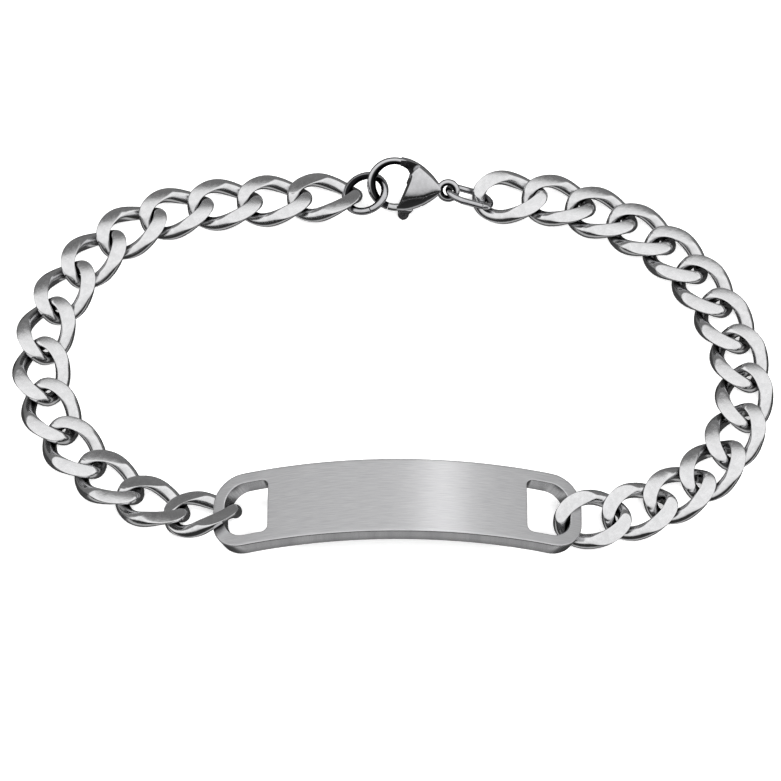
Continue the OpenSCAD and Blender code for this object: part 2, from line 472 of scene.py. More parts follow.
@dataclass(frozen=True)
class SteelFinish:
    """A steel surface: its colour, its gloss, and the marks that polishing or brushing leaves.

    Attributes:
        colour, shade: screen colours of the fine grain's bright and dark parts.
        roughness, spread: mean roughness, and how far the grain varies it.
        grain_mm, relief: size of the grain and its strength as bumps.
        wave_mm, wave: size and strength of the slow swell that a wheel leaves.
        recess, reach_mm: colour of the shade painted into crevices and onto the inner sides of bows, and
            how near a neighbour makes a crevice.
        brush, anisotropy: which way the grain is drawn out, and how far that spreads highlights.
        arch_mm, wall_roughness: radius of an arched face, if any, and how rough its walls are.
        skin_mm: how far under an arched face the walls' gloss ends and the face's own begins.
        detail, falloff: how many finer grains ride on the first, and how strong each of them is.
        gloss_span, tone_span: levels of the grain between which gloss and colour change.
        open_span: shares of open space between which the painted crevice shade fades into plain metal.
        open_samples: rays that look for a crevice.
    """

    name: str
    colour: str
    shade: str
    roughness: float
    spread: float
    grain_mm: float
    relief: float
    wave_mm: float
    wave: float
    painted_shade: str = "1C1C1E"
    reach_mm: float = 1.3
    brush: Brush = Brush.NONE
    anisotropy: float = 0.0
    arch_mm: float = 0.0
    wall_roughness: float = 0.2
    skin_mm: Pair = (0.012, 0.004)
    detail: float = 5.0
    falloff: float = 0.6
    gloss_span: Pair = (0.3, 0.7)
    tone_span: Pair = (0.36, 0.64)
    open_span: Pair = (0.12, 0.62)
    open_samples: int = 12

    def build(self) -> Look:
        """Makes the material.

        Returns:
            The material, its pattern laid out in the piece's own millimetres.
        """
        material = bpy.data.materials.new(self.name)
        material.use_nodes = True
        tree = material.node_tree
        own = add_node(tree, "ShaderNodeAttribute", attribute_name="own_mm").outputs["Vector"]
        stretch = add_node(tree, "ShaderNodeMapping", {"Vector": own, "Scale": self.brush.value})
        fine = {"Scale": 1 / self.grain_mm, "Detail": self.detail, "Roughness": self.falloff}
        grain = add_node(tree, "ShaderNodeTexNoise", {"Vector": stretch.outputs[0], **fine}).outputs[0]
        slow = {"Scale": 1 / self.wave_mm, "Detail": 1.0}
        wave = add_node(tree, "ShaderNodeTexNoise", {"Vector": own, **slow}).outputs[0]
        low, high = self.gloss_span
        levels = {"To Min": self.roughness - self.spread, "To Max": self.roughness + self.spread}
        change = {"Value": grain, "From Min": low, "From Max": high, **levels}
        rough = add_node(tree, "ShaderNodeMapRange", change).outputs[0]
        if self.arch_mm:
            rough = self.smooth_walls(tree, own, rough)
        broad = {"Strength": self.wave, "Distance": self.wave_mm * MM, "Height": wave}
        swell = add_node(tree, "ShaderNodeBump", broad).outputs[0]
        sharp = {"Strength": self.relief, "Distance": self.grain_mm * MM, "Height": grain}
        lines = add_node(tree, "ShaderNodeBump", {**sharp, "Normal": swell}).outputs[0]
        look = {"Base Color": self.tone(tree, grain), "Metallic": 1.0, "Roughness": rough, "Normal": lines}
        if self.anisotropy:
            across = add_node(tree, "ShaderNodeCombineXYZ", {"Y": 1.0}).outputs[0]
            look |= {"Anisotropic": self.anisotropy, "Tangent": across}
        add_node(tree, "Principled BSDF", look)
        return material

    def tone(self, tree: bpy.types.NodeTree, grain: bpy.types.NodeSocket) -> bpy.types.NodeSocket:
        """Colours the grain, and paints shade into crevices and a dark reflection onto the inner sides of
        bows.

        Args:
            tree: the material's nodes.
            grain: the grain's pattern.

        Returns:
            The colour.
        """
        low, high = self.tone_span
        streak = add_node(tree, "ShaderNodeMapRange", {"Value": grain, "From Min": low, "From Max": high})
        # painted shade: ambient occlusion turns the colour dark where a neighbour comes near
        reach = {"Distance": self.reach_mm * MM}
        space = add_node(tree, "ShaderNodeAmbientOcclusion", reach, samples=self.open_samples).outputs["AO"]
        low, high = self.open_span
        depth = add_node(tree, "ShaderNodeMapRange", {"Value": space, "From Min": low, "From Max": high})
        inside = add_node(tree, "ShaderNodeAttribute", attribute_name="painted_dark_inner_side").outputs["Fac"]
        shade, colour, painted_shade = linear(self.shade), linear(self.colour), linear(self.painted_shade)
        metal = {"Factor": streak.outputs[0], 6: shade, 7: colour}
        worn = add_node(tree, "ShaderNodeMix", metal, data_type="RGBA").outputs[2]
        opened = {"Factor": depth.outputs[0], 6: painted_shade, 7: worn}
        outer = add_node(tree, "ShaderNodeMix", opened, data_type="RGBA").outputs[2]
        # painted dark reflection: the inner sides of bows take the dark crevice colour
        bows = {"Factor": inside, 6: outer, 7: painted_shade}
        return add_node(tree, "ShaderNodeMix", bows, data_type="RGBA").outputs[2]

    def smooth_walls(
        self, tree: bpy.types.NodeTree, own: bpy.types.NodeSocket, face: bpy.types.NodeSocket
    ) -> bpy.types.NodeSocket:
        """Makes everything below an arched top face smoother than that face.

        Args:
            tree: the material's nodes.
            own: place in the piece's own millimetres, the arch's crown at its origin.
            face: roughness of the top face.

        Returns:
            Roughness everywhere.
        """
        spoke = {0: own, 1: (1.0, 0.0, 1.0), 2: (0.0, 0.0, self.arch_mm)}
        flat = add_node(tree, "ShaderNodeVectorMath", spoke, operation="MULTIPLY_ADD")
        radius = add_node(tree, "ShaderNodeVectorMath", {0: flat.outputs[0]}, operation="LENGTH")
        deep, shallow = self.skin_mm
        skin = {"From Min": self.arch_mm - deep, "From Max": self.arch_mm - shallow}
        top = add_node(tree, "ShaderNodeMapRange", {"Value": radius.outputs["Value"], **skin})
        both = {"Factor": top.outputs[0], 2: self.wall_roughness, 3: face}
        return add_node(tree, "ShaderNodeMix", both).outputs[0]


FINISHES = {
    # satin face with fine lines along the plate, which spread each highlight across it; the lines
    # are drawn 0.08 mm wide, coarser than a belt leaves them, so that they show
    "plate_steel": SteelFinish(
        "brushed_plate_steel", colour="E0E0E1", shade="CACACC", roughness=0.35, spread=0.06,
        grain_mm=0.08, relief=0.09, wave_mm=9.0, wave=0.0, reach_mm=0.6,
        brush=Brush.ALONG_X, anisotropy=0.8, arch_mm=PLATE_ARCH_MM,
    ),
    # polished wire: near-mirror steel that shows the room's pale ceiling and dark walls
    "link_steel": SteelFinish(
        "polished_link_steel", colour="EFEFF0", shade="E3E3E4", roughness=0.14, spread=0.03,
        grain_mm=0.6, relief=0.02, wave_mm=4.0, wave=0.02,
    ),
    # tumbled wire of the two small rings, greyer than the links and softly uneven
    "ring_steel": SteelFinish(
        "tumbled_ring_steel", colour="D0D0D2", shade="C6C6C9", roughness=0.14, spread=0.05,
        grain_mm=0.4, relief=0.03, wave_mm=2.0, wave=0.1,
    ),
    # mirror polished casting, pale above and black where it mirrors the room's walls; the inner sides of
    # its hook and tail loop are black from a painted dark reflection
    "clasp_steel": SteelFinish(
        "mirror_clasp_steel", colour="DADADC", shade="D0D0D2", roughness=0.08, spread=0.03,
        grain_mm=0.5, relief=0.02, wave_mm=2.5, wave=0.05,
    ),
    # cut end of the drawn pin, matt beside the mirror round it
    "pin_steel": SteelFinish(
        "cut_pin_steel", colour="A9A9AD", shade="8F8F94", roughness=0.35, spread=0.08,
        grain_mm=0.15, relief=0.1, wave_mm=1.0, wave=0.05,
    ),
}


@dataclass(frozen=True)
class CurbLink:
    """A flat-ground curb link: a twisted oval loop of wire with both its faces ground away.

    The wire's half width and half height are given at the link's ends and halfway along its arms.
    """

    length: float = 9.3
    width: float = 7.0
    end_wide: float = 0.80
    end_tall: float = 0.84
    arm_wide: float = 0.90
    arm_tall: float = 0.93
    fullness: float = 0.86
    twist: float = math.radians(44)
    ground: float = 1.03
    facet_at: Pair = (2.5, 1.3)
    crown_along: float = 20.0
    crown_across: float = 14.0
    blend: Pair = (0.6, 0.01)
    bevel: float = 0.085
    bevel_reach: float = 6.0
    steps: int = 200
    sides: int = 60

    def centre_line(self, t: np.ndarray) -> np.ndarray:
        """Gives the wire's centre line.

        x is a cos(t) and the half width u is b sin(t), both raised to the fullness power; the point
        is then turned about X by the twist, which grows evenly from the middle to either end.

        Args:
            t: angles round the loop.

        Returns:
            Points, one for each angle.
        """
        a = self.length / 2 - self.end_wide
        b = self.width / 2 - self.arm_wide
        x = a * spow(np.cos(t), self.fullness)
        u = b * spow(np.sin(t), self.fullness)
        turn = self.twist * x / a
        return np.stack([x, u * np.cos(turn), -u * np.sin(turn)], axis=-1)

    def surface(self) -> Surface:
        """Sweeps the wire round the loop and grinds both faces nearly flat.

        The ground height falls off from each half's middle as the squares of both distances over
        twice the crown's radii, and the two halves blend halfway along the link. Heights beyond it
        are held to it through a soft limit, so a fine rounded edge runs round each ground face.

        Returns:
            The link's surface.
        """
        t = (np.arange(self.steps) + 0.5) * 2 * np.pi / self.steps
        centre = self.centre_line(t)
        step = 1e-3
        along = unit(self.centre_line(t + step) - self.centre_line(t - step))
        turn = self.twist * centre[:, 0] / (self.length / 2 - self.end_wide)
        up = np.stack([0 * turn, np.sin(turn), np.cos(turn)], axis=-1)
        out = unit(np.cross(along, up))
        rise = np.cross(out, along)
        half = self.end_wide + (self.arm_wide - self.end_wide) * np.sin(t) ** 2
        tall = self.end_tall + (self.arm_tall - self.end_tall) * np.sin(t) ** 2
        points = Sweep(centre, out, rise, half, tall, self.sides).points()
        off = np.hypot(points[:, :2], self.blend) - self.facet_at
        fall = off**2 / (2 * np.array([self.crown_along, self.crown_across]))
        limit = self.ground - fall.sum(axis=1)
        over = np.abs(points[:, 2]) - limit
        held = limit - self.bevel * np.log1p(np.exp(-over / self.bevel))
        near = over > -self.bevel_reach * self.bevel
        points[:, 2] = np.where(near, np.sign(points[:, 2]) * held, points[:, 2])
        return Surface(points, grid_quads(self.steps, self.sides, True, True).tolist()).facing_out()


@dataclass(frozen=True)
class CurbChain:
    """One run of the chain, its links laid as their solids lie."""

    side: Side
    link: CurbLink = CurbLink()
    count: int = 14

    def build(self, looks: dict[str, Look]) -> list[Piece]:
        """Makes the run's links.

        Args:
            looks: materials by slot.

        Returns:
            The links.
        """
        shape, pieces = self.link.surface(), []
        for i in range(1, self.count + 1):
            node = f"{self.side.value}_link_{i:02d}"
            link = make_piece(f"{self.side.value}_curb_{i:02d}", shape, lie_of(node), looks["link_steel"])
            pieces.append(settle(link, BODY, node))
        return pieces


@dataclass(frozen=True)
class WireRing:
    """A ring of round wire, round or oval, cut through once or soldered shut."""

    length: float
    width: float
    wire: float
    cut_deg: float = 0.0
    cut_gap: float = 0.07
    # a ring that is dark inside gets a dark reflection painted on its wire's inner side
    painted_dark_inside: bool = False
    straight: float = 0.02
    steps: int = 145
    sides: int = 28

    def surface(self) -> Surface:
        """Sweeps round wire along a ring whose straight sides join two half circles.

        The half circles part where the cosine of the angle round the ring is within plus or minus
        the straight share.

        Returns:
            The ring's surface, open at its cut; a ring with no gap closes on itself.
        """
        bend = self.width / 2 - self.wire
        reach = self.length / 2 - self.width / 2
        start = math.radians(self.cut_deg)
        gap = self.cut_gap / bend
        t = np.linspace(start + gap / 2, start + 2 * np.pi - gap / 2, self.steps)
        if not gap:
            t = t[:-1]
        push = reach * np.clip(np.cos(t) / self.straight, -1, 1)
        path = np.stack([bend * np.cos(t) + push, bend * np.sin(t), 0 * t], axis=1)
        side = np.stack([np.cos(t), np.sin(t), 0 * t], axis=1)
        points = Sweep(path, side, Z_AXIS, self.wire, self.wire, self.sides).points()
        if gap:
            faces = capped_grid(len(t), self.sides)
        else:
            faces = grid_quads(len(t), self.sides, True, True).tolist()
        inner = painted_dark_inner_side(points, (0, 0), bend, self.wire, 0.1) if self.painted_dark_inside else None
        return Surface(points, faces, inner).facing_out()


@dataclass(frozen=True)
class JumpRings:
    """The round ring at the clasp's hook and the oval ring at its tail loop."""

    # the round ring has a dark reflection painted on its inner side
    round_ring: WireRing = WireRing(5.98, 5.98, 0.46, cut_deg=-75.0, painted_dark_inside=True)
    oval_ring: WireRing = WireRing(6.3, 4.3, 0.4, cut_deg=100.0)

    def build(self, looks: dict[str, Look]) -> list[Piece]:
        """Makes both rings.

        Args:
            looks: materials by slot.

        Returns:
            The rings.
        """
        steel, across = looks["ring_steel"], Vector(X_AXIS)
        hook = make_piece("round_ring_wire", self.round_ring.surface(), lie_of("round_ring", across), steel)
        tail = make_piece("oval_ring_wire", self.oval_ring.surface(), lie_of("oval_ring"), steel)
        return [
            settle(hook, BODY, "round_ring"),
            settle(tail, BODY, "oval_ring"),
        ]


def round_end(begin: float, end: float, half: float, radius: float) -> tuple[np.ndarray, np.ndarray]:
    """Walks a bar's outline round its end, whose two corners are quarter circles.

    Args:
        begin: where on the long edges the walk starts and stops.
        end: where the bar ends.
        half: half the bar's width.
        radius: radius of both corners.

    Returns:
        Points, two columns, and outward unit vectors.
    """
    turn = np.radians(np.linspace(-90, 0, CORNER_POINTS))
    corner = np.stack([np.cos(turn), np.sin(turn)], axis=1)
    low = corner * radius + [end - radius, radius - half]
    run = np.linspace(begin, end - radius, CORNER_POINTS)[:-1]
    first = np.stack([run, np.full_like(run, -half)], axis=1)
    wall = np.linspace(radius - half, 0, END_POINTS)[1:]
    middle = np.stack([np.full_like(wall, end), wall], axis=1)
    lower = np.vstack([first, low, middle])
    edge_out, end_out = np.tile([0.0, -1.0], (len(run), 1)), np.tile([1.0, 0.0], (len(wall), 1))
    facing = np.vstack([edge_out, corner, end_out])
    upper, over = lower[-2::-1] * [1, -1], facing[-2::-1] * [1, -1]
    return np.vstack([lower, upper]), np.vstack([facing, over])


@dataclass(frozen=True)
class IdPlate:
    """The arched plate with a D-shaped hole near each end."""

    width: float = 9.8
    thickness: float = 2.05
    arch: float = PLATE_ARCH_MM
    half_angle: float = math.radians(25.05)
    corner: float = 3.7
    hole_in: float = math.radians(17.28)
    bar: float = 1.5
    hole_width: float = 7.0
    hole_in_corner: float = 0.8
    hole_out_corner: float = 2.5
    relief: float = 0.85
    relief_half: float = 3.4
    relief_in: float = 0.3
    relief_slope: float = 0.15
    net_margin: float = 1.6
    mid_rows: int = 61
    net_rows: int = 8
    inner_points: int = 9
    edge: float = 0.16
    hole_edge: float = 0.10

    @property
    def start(self) -> float:
        """Distance along the arch where an end's own net of faces begins."""
        return self.arch * self.hole_in - self.net_margin

    def end_path(self) -> tuple[np.ndarray, np.ndarray]:
        """Walks round the plate's right end: places along and across the arch, outward vectors."""
        return round_end(self.start, self.arch * self.half_angle, self.width / 2, self.corner)

    def hole_path(self) -> tuple[np.ndarray, np.ndarray]:
        """Walks the right hole's outline in step with the end's outline, then down its inner wall.

        Returns:
            Points and unit vectors that point away from the opening.
        """
        near, far = self.arch * self.hole_in, self.arch * self.half_angle - self.bar
        half, tight = self.hole_width / 2, self.hole_in_corner
        outer, facing = round_end(near + tight, far, half, self.hole_out_corner)
        bend = np.radians(np.linspace(90, 180, self.inner_points)[1:])
        corner = np.stack([np.cos(bend), np.sin(bend)], axis=1)
        top = corner * tight + [near + tight, half - tight]
        down = np.linspace(half - tight, 0, self.inner_points)[1:]
        inner = np.vstack([top, np.stack([np.full_like(down, near), down], axis=1)])
        away = np.vstack([corner, np.tile([-1.0, 0.0], (len(down), 1))])
        inner = np.vstack([inner, inner[-2::-1] * [1, -1]])
        away = np.vstack([away, away[-2::-1] * [1, -1]])
        return np.vstack([outer, inner]), np.vstack([facing, away])

    def depth(self, flat: np.ndarray, level: np.ndarray) -> np.ndarray:
        """Gives the depth of points under the top face, with the reliefs under both end bars.

        Args:
            flat: points along and across the plate.
            level: zero on the top face and one on the underside.

        Returns:
            Depths in millimetres.
        """
        far = self.arch * self.half_angle - self.bar
        along = np.clip((np.abs(flat[..., 0]) - far + self.relief_in) / self.relief_slope, 0, 1)
        across = np.clip((self.relief_half - np.abs(flat[..., 1])) / self.relief_slope, 0, 1)
        return level * (self.thickness - self.relief * along * across)

    def bend(self, flat: np.ndarray, depth: np.ndarray) -> np.ndarray:
        """Bends flat points onto the arch, its crown at height zero.

        Args:
            flat: points along and across the plate.
            depth: depth of each under the top face.

        Returns:
            Points in space.
        """
        turn = flat[..., 0] / self.arch
        radius = self.arch - depth
        return np.stack([radius * np.sin(turn), flat[..., 1], radius * np.cos(turn) - self.arch], axis=-1)

    def wall(self, loop: np.ndarray, outward: np.ndarray, fillet: float) -> Surface:
        """Makes the upright wall under a closed outline, rounded into both faces.

        Args:
            loop: the outline's points.
            outward: unit vectors out of the metal.
            fillet: radius of both edges.

        Returns:
            The wall.
        """
        inset, drop = fillet_rows(fillet)
        flat = loop[None] - inset[:, None, None] * outward[None]
        foot = self.depth(flat, np.ones(flat.shape[:2]))
        under = np.arange(len(inset)) >= len(inset) // 2
        depth = np.where(under[:, None], foot + drop[:, None], drop[:, None])
        points = self.bend(flat, depth).reshape(-1, 3)
        return Surface(points, grid_quads(len(inset), len(loop), False, True).tolist())

    def face(self, level: float) -> Surface:
        """Makes one broad face: a net round each hole and one between them.

        Args:
            level: zero for the top and one for the underside.

        Returns:
            The face.
        """
        outer, outward = self.end_path()
        hole, away = self.hole_path()
        edge = outer - self.edge * outward
        half = self.width / 2 - self.edge
        down = np.linspace(half, -half, len(hole) - len(outer) + 2)
        seam = np.stack([np.full_like(down[1:-1], self.start), down[1:-1]], axis=1)
        rim = np.vstack([edge, seam])
        lip = hole + self.hole_edge * away
        share = np.linspace(0, 1, self.net_rows)[:, None, None]
        ring = lip[None] * (1 - share) + rim[None] * share
        mid = np.linspace(-self.start, self.start, self.mid_rows)
        band = np.stack(np.meshgrid(mid, down, indexing="ij"), axis=-1)
        faces = grid_quads(*ring.shape[:2], False, True).tolist()
        curved = self.bend(ring, self.depth(ring, np.full(ring.shape[:2], level)))
        right = Surface(curved.reshape(-1, 3), faces)
        left = Surface(right.points * [-1, 1, 1], [f[::-1] for f in faces])
        bent = self.bend(band, self.depth(band, np.full(band.shape[:2], level)))
        middle = Surface(bent.reshape(-1, 3), grid_quads(*band.shape[:2], False, False).tolist())
        return right.join(left).join(middle)

    def surface(self) -> Surface:
        """Puts the faces and walls together.

        Returns:
            The plate's surface; its patches meet point on point.
        """
        end, end_out = self.end_path()
        run = np.linspace(self.start, -self.start, self.mid_rows)[1:-1]
        far_edge = np.stack([run, np.full_like(run, self.width / 2)], axis=1)
        far_out = np.tile([0.0, 1.0], (len(run), 1))
        loop = np.vstack([end, far_edge, -end, -far_edge])
        out = np.vstack([end_out, far_out, -end_out, -far_out])
        hole, away = self.hole_path()
        parts = self.face(0.0).join(self.face(1.0)).join(self.wall(loop, out, self.edge))
        for sign in (1, -1):
            parts = parts.join(self.wall(hole * sign, -away * sign, self.hole_edge))
        return parts

    def build(self, looks: dict[str, Look]) -> list[Piece]:
        """Makes the plate, its crown at the top of the solid's box.

        Args:
            looks: materials by slot.

        Returns:
            The plate.
        """
        low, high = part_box("plate")
        middle = (low + high) / 2
        place = Matrix.Translation((middle.x, middle.y, high.z)) @ Matrix.Scale(MM, 4)
        plate = make_piece("id_plate", self.surface(), place, looks["plate_steel"])
        return [settle(plate, BODY, "plate")]


@dataclass(frozen=True)
class LobsterClasp:
    """The clasp: a swelling body with a hook and tail loop, a slot, a lever and its pin.

    Its own X runs from the tail loop's centre to the hook and its Y to the lever's side. Outlines
    are places along X and Y. The tab's tables give the X of its front and back edge, and its
    thickness, each against Y.
    """

    heading: float = math.radians(173.25)
    roll: float = math.radians(-47.05)
    tilt: float = math.radians(0.63)
    pivot: Pair = (3.9, 1.35)
    hook_at: Pair = (6.55, -0.12)
    hook_r: float = 2.9
    hook_wire: float = 0.45
    hook_swell: float = 0.09
    hook_deg: Pair = (-107, 77.5)
    nose_deg: Pair = (79, 125)
    tip_dome: float = 0.05
    wire_sides: int = 40
    body_from: float = 0.85
    body_to: float = 6.05
    body_half: float = 3.36
    body_t: float = 1.45
    body_drift: Pair = (0.1, -0.3)
    body_rows: int = 64
    body_sides: int = 96
    body_squareness: float = 0.9
    neck_half: float = 0.3
    neck_t: float = 0.36
    opening: Table = (
        (6.6, -2.45), (6.0, -2.5), (5.25, -2.15), (4.9, -1.62),
        (5.0, -1.1), (5.55, 0.7), (6.09, 2.45), (6.6, 2.45),
    )
    opening_t: float = 2.2
    opening_lap: float = 0.02
    opening_draft: float = 0.35
    opening_edge: float = 0.01
    swelling: Table = (
        (3.3, -3.1), (3.75, -2.62), (4.25, -2.2), (4.6, -1.72),
        (4.7, -1.2), (6.6, -1.2), (6.6, -4.2), (3.3, -4.2),
    )
    swelling_t: float = 2.4
    spine_t: float = 0.5
    spine_slope: float = 0.24
    spine_edge: float = 3.0
    slot: Table = (
        (3.0, 0.75), (3.9, 0.3), (5.0, -0.3), (6.6, -0.9), (6.9, 3.9), (3.6, 3.9), (2.95, 2.6),
    )
    slot_t: float = 0.5
    cut_edge: float = 0.02
    lever_t: float = 0.44
    lever_swell: float = 0.36
    lever_sides: int = 28
    lever_squareness: float = 0.85
    tab_root: float = 2.3
    tab_turn: float = 3.45
    tab_tip_r: float = 0.75
    tab_front: Table = ((2.3, 5.95), (3.45, 5.9))
    tab_back: Table = ((2.3, 3.9), (3.0, 4.1), (3.45, 4.5))
    tab_thick: Table = ((2.3, 0.44), (2.9, 0.5), (4.2, 0.22))
    tab_squareness: float = 0.45
    tail_r: float = 1.03
    tail_wire: float = 0.40
    pin_r: float = 0.35
    pin_half: float = 0.9

    def place(self) -> Matrix:
        """Finds where the clasp lies from the lever's pivot and its three angles.

        Returns:
            A matrix from the clasp's own millimetres to the frame.
        """
        turn = (
            Matrix.Rotation(self.heading, 3, "Z")
            @ Matrix.Rotation(-self.tilt, 3, "Y")
            @ Matrix.Rotation(self.roll, 3, "X")
        )
        pivot = Vector(FRAME["joints"][0]["pos_m"])
        corner = pivot - turn @ Vector((*self.pivot, 0)) * MM
        return Matrix.Translation(corner) @ turn.to_4x4() @ Matrix.Scale(MM, 4)

    def hook_arc(self, degrees: Pair, steps: int) -> tuple[np.ndarray, np.ndarray]:
        """Walks along the hook's circle.

        Args:
            degrees: first and last angle.
            steps: number of points.

        Returns:
            Points on the circle and unit vectors out from its centre.
        """
        t = np.radians(np.linspace(*degrees, steps))
        side = np.stack([np.cos(t), np.sin(t), 0 * t], axis=1)
        return np.array([*self.hook_at, 0]) + side * self.hook_r, side

    def hook(self) -> Surface:
        """Sweeps wire from inside the spine round to the hook's nearly flat tip.

        The wire is round at both ends and grows wider, as the cosine squared, towards the middle
        of the hook's bow.

        Returns:
            The hook.
        """
        path, side = self.hook_arc(self.hook_deg, 110)
        wide = self.hook_wire + self.hook_swell * np.clip(side[:, 0], 0, None) ** 2
        return Sweep(path, side, Z_AXIS, wide, self.hook_wire, self.wire_sides).tube(self.tip_dome)

    def belly(self) -> Surface:
        """Lofts the teardrop body from ovals square to the clasp's long axis.

        With s running from zero at the tail to one at the hook, the half width grows as
        sin(s ** 0.85 pi / 2), the half height as sin(2.3 s ** 0.9), and the middle drifts to the
        far side as the root of s.

        Returns:
            The belly, still whole: its opening, spine and slot are cut later.
        """
        s = np.linspace(0, 1, self.body_rows) ** 1.3
        x = self.body_from + (self.body_to - self.body_from) * s
        half = self.neck_half + (self.body_half - self.neck_half) * np.sin(np.pi / 2 * s**0.85)
        high = self.neck_t + (self.body_t - self.neck_t) * np.sin(2.3 * s**0.9)
        middle = self.body_drift[0] + self.body_drift[1] * np.sqrt(s)
        path = np.stack([x, middle, 0 * x], axis=1)
        loft = Sweep(path, Y_AXIS, Z_AXIS, half, high, self.body_sides, self.body_squareness)
        return Surface(loft.points(), capped_grid(len(path), self.body_sides)).facing_out()

    def cuts(self) -> list[Surface]:
        """Draws the slabs that are cut from the belly.

        The space inside the hook is cut as an upper and a lower half, whose walls slant across the
        body and outwards. So is the swelling over and under the spine, down to a floor that slopes
        to the opening. The last slab is the slot that the lever swings in.

        Returns:
            The five slabs.
        """
        openings, shavings = [], []
        for side in (1, -1):
            low, high = sorted((side * -self.opening_lap, side * self.opening_t))
            half = slab(np.array(self.opening), low, high, self.opening_edge)
            half.points[:, 0] -= self.opening_draft * np.abs(half.points[:, 2])
            openings.append(half)
            low, high = sorted((side * self.spine_t, side * self.swelling_t))
            half = slab(np.array(self.swelling), low, high, self.cut_edge)
            half.points[:, 2] -= side * self.spine_slope * (half.points[:, 1] + self.spine_edge)
            shavings.append(half)
        return [*openings, *shavings, slab(np.array(self.slot), -self.slot_t, self.slot_t, self.cut_edge)]

    def lever_arm(self) -> Surface:
        """Sweeps the lever from its nose, along the hook's circle, down to the pin.

        Returns:
            The lever's arm.
        """
        arc, _ = self.hook_arc(self.nose_deg, 40)
        share = np.linspace(0, 1, 24)[1:, None]
        leg = arc[-1] * (1 - share) + np.array([*self.pivot, 0]) * share
        path = np.vstack([arc, leg])
        flow = unit(np.gradient(path, axis=0))
        across = np.stack([flow[:, 1], -flow[:, 0], 0 * flow[:, 0]], axis=1)
        grow = np.concatenate([np.zeros(len(arc)), share[:, 0]])
        wide = self.lever_t + self.lever_swell * grow**1.4
        arm = Sweep(path, across, Z_AXIS, wide, self.lever_t, self.lever_sides, self.lever_squareness)
        return arm.tube(self.tip_dome)

    def lever_tab(self) -> Surface:
        """Draws the thumb tab that sticks out past the body, broad at its root and round at its tip.

        Returns:
            The tab.
        """
        root, turn, tip_r = self.tab_root, self.tab_turn, self.tab_tip_r
        bow = np.radians(np.linspace(0, 84, 16))
        y = np.concatenate([np.linspace(root, turn, 10)[:-1], turn + tip_r * np.sin(bow)])
        tables = (self.tab_front, self.tab_back, self.tab_thick)
        front, back, thick = (np.interp(y, *zip(*table)) for table in tables)
        rounded = np.sqrt(np.clip(1 - np.clip((y - turn) / tip_r, 0, 1) ** 2, 0.01, 1))
        path = np.stack([(front + back) / 2, y, thick / 2], axis=1)
        half = (front - back) / 2 * rounded
        return Sweep(path, X_AXIS, Z_AXIS, half, thick / 2, self.wire_sides, self.tab_squareness).tube()

    def pin(self) -> Surface:
        """Draws the pin with softly domed ends.

        Returns:
            The pin.
        """
        z = np.linspace(-self.pin_half, self.pin_half, 12)
        path = np.stack([np.full_like(z, self.pivot[0]), np.full_like(z, self.pivot[1]), z], axis=1)
        return Sweep(path, X_AXIS, Y_AXIS, self.pin_r, self.pin_r, self.lever_sides).tube()

    def paint_dark_inner_sides(self, mesh: bpy.types.Mesh, place: Matrix) -> None:
        """Marks the inner sides of the hook and of the tail loop, for a dark reflection painted into their
        colour.

        Args:
            mesh: the body's mesh, changed in place.
            place: matrix from the clasp's own millimetres to the frame.
        """
        co = np.empty(len(mesh.vertices) * 3)
        mesh.vertices.foreach_get("co", co)
        back = np.array(place.inverted())
        own = co.reshape(-1, 3) @ back[:3, :3].T + back[:3, 3]
        hook = painted_dark_inner_side(own, self.hook_at, self.hook_r, self.hook_wire, 0.35)
        hook = hook * (own[:, 0] > 5.75) * (np.abs(own[:, 2]) < 0.5)
        tail = painted_dark_inner_side(own, (0, 0), self.tail_r, self.tail_wire, 0.1) * (own[:, 0] < 0.9)
        mark(mesh, own, np.maximum(hook, tail))

    def build(self, looks: dict[str, Look]) -> list[Piece]:
        """Makes the clasp's body, lever and pin.

        Args:
            looks: materials by slot.

        Returns:
            The three pieces.
        """
        place = self.place()
        steel = looks["clasp_steel"]
        body = make_piece("clasp_casting", self.belly(), place, steel)
        hook = make_piece("cut_hook", self.hook(), place, steel)
        tail_size = 2 * (self.tail_r + self.tail_wire)
        ring = WireRing(tail_size, tail_size, self.tail_wire, cut_gap=0.0)
        tail = make_piece("cut_tail", ring.surface(), place, steel)
        cuts = [make_piece(f"cut_{i}", cut, place, steel) for i, cut in enumerate(self.cuts())]
        carve(body, [*((cut, Joining.CUT) for cut in cuts), (hook, Joining.ADD), (tail, Joining.ADD)])
        self.paint_dark_inner_sides(body.data, place)
        lever = make_piece("clasp_trigger", self.lever_arm(), place, steel)
        tab = make_piece("cut_tab", self.lever_tab(), place, steel)
        carve(lever, [(tab, Joining.ADD)])
        pin = make_piece("clasp_pivot_pin", self.pin(), place, looks["pin_steel"])
        return [
            settle(body, BODY, "clasp_body"),
            settle(lever, LEVER_BODY, "clasp_lever"),
            settle(pin, BODY, "clasp_pin"),
        ]


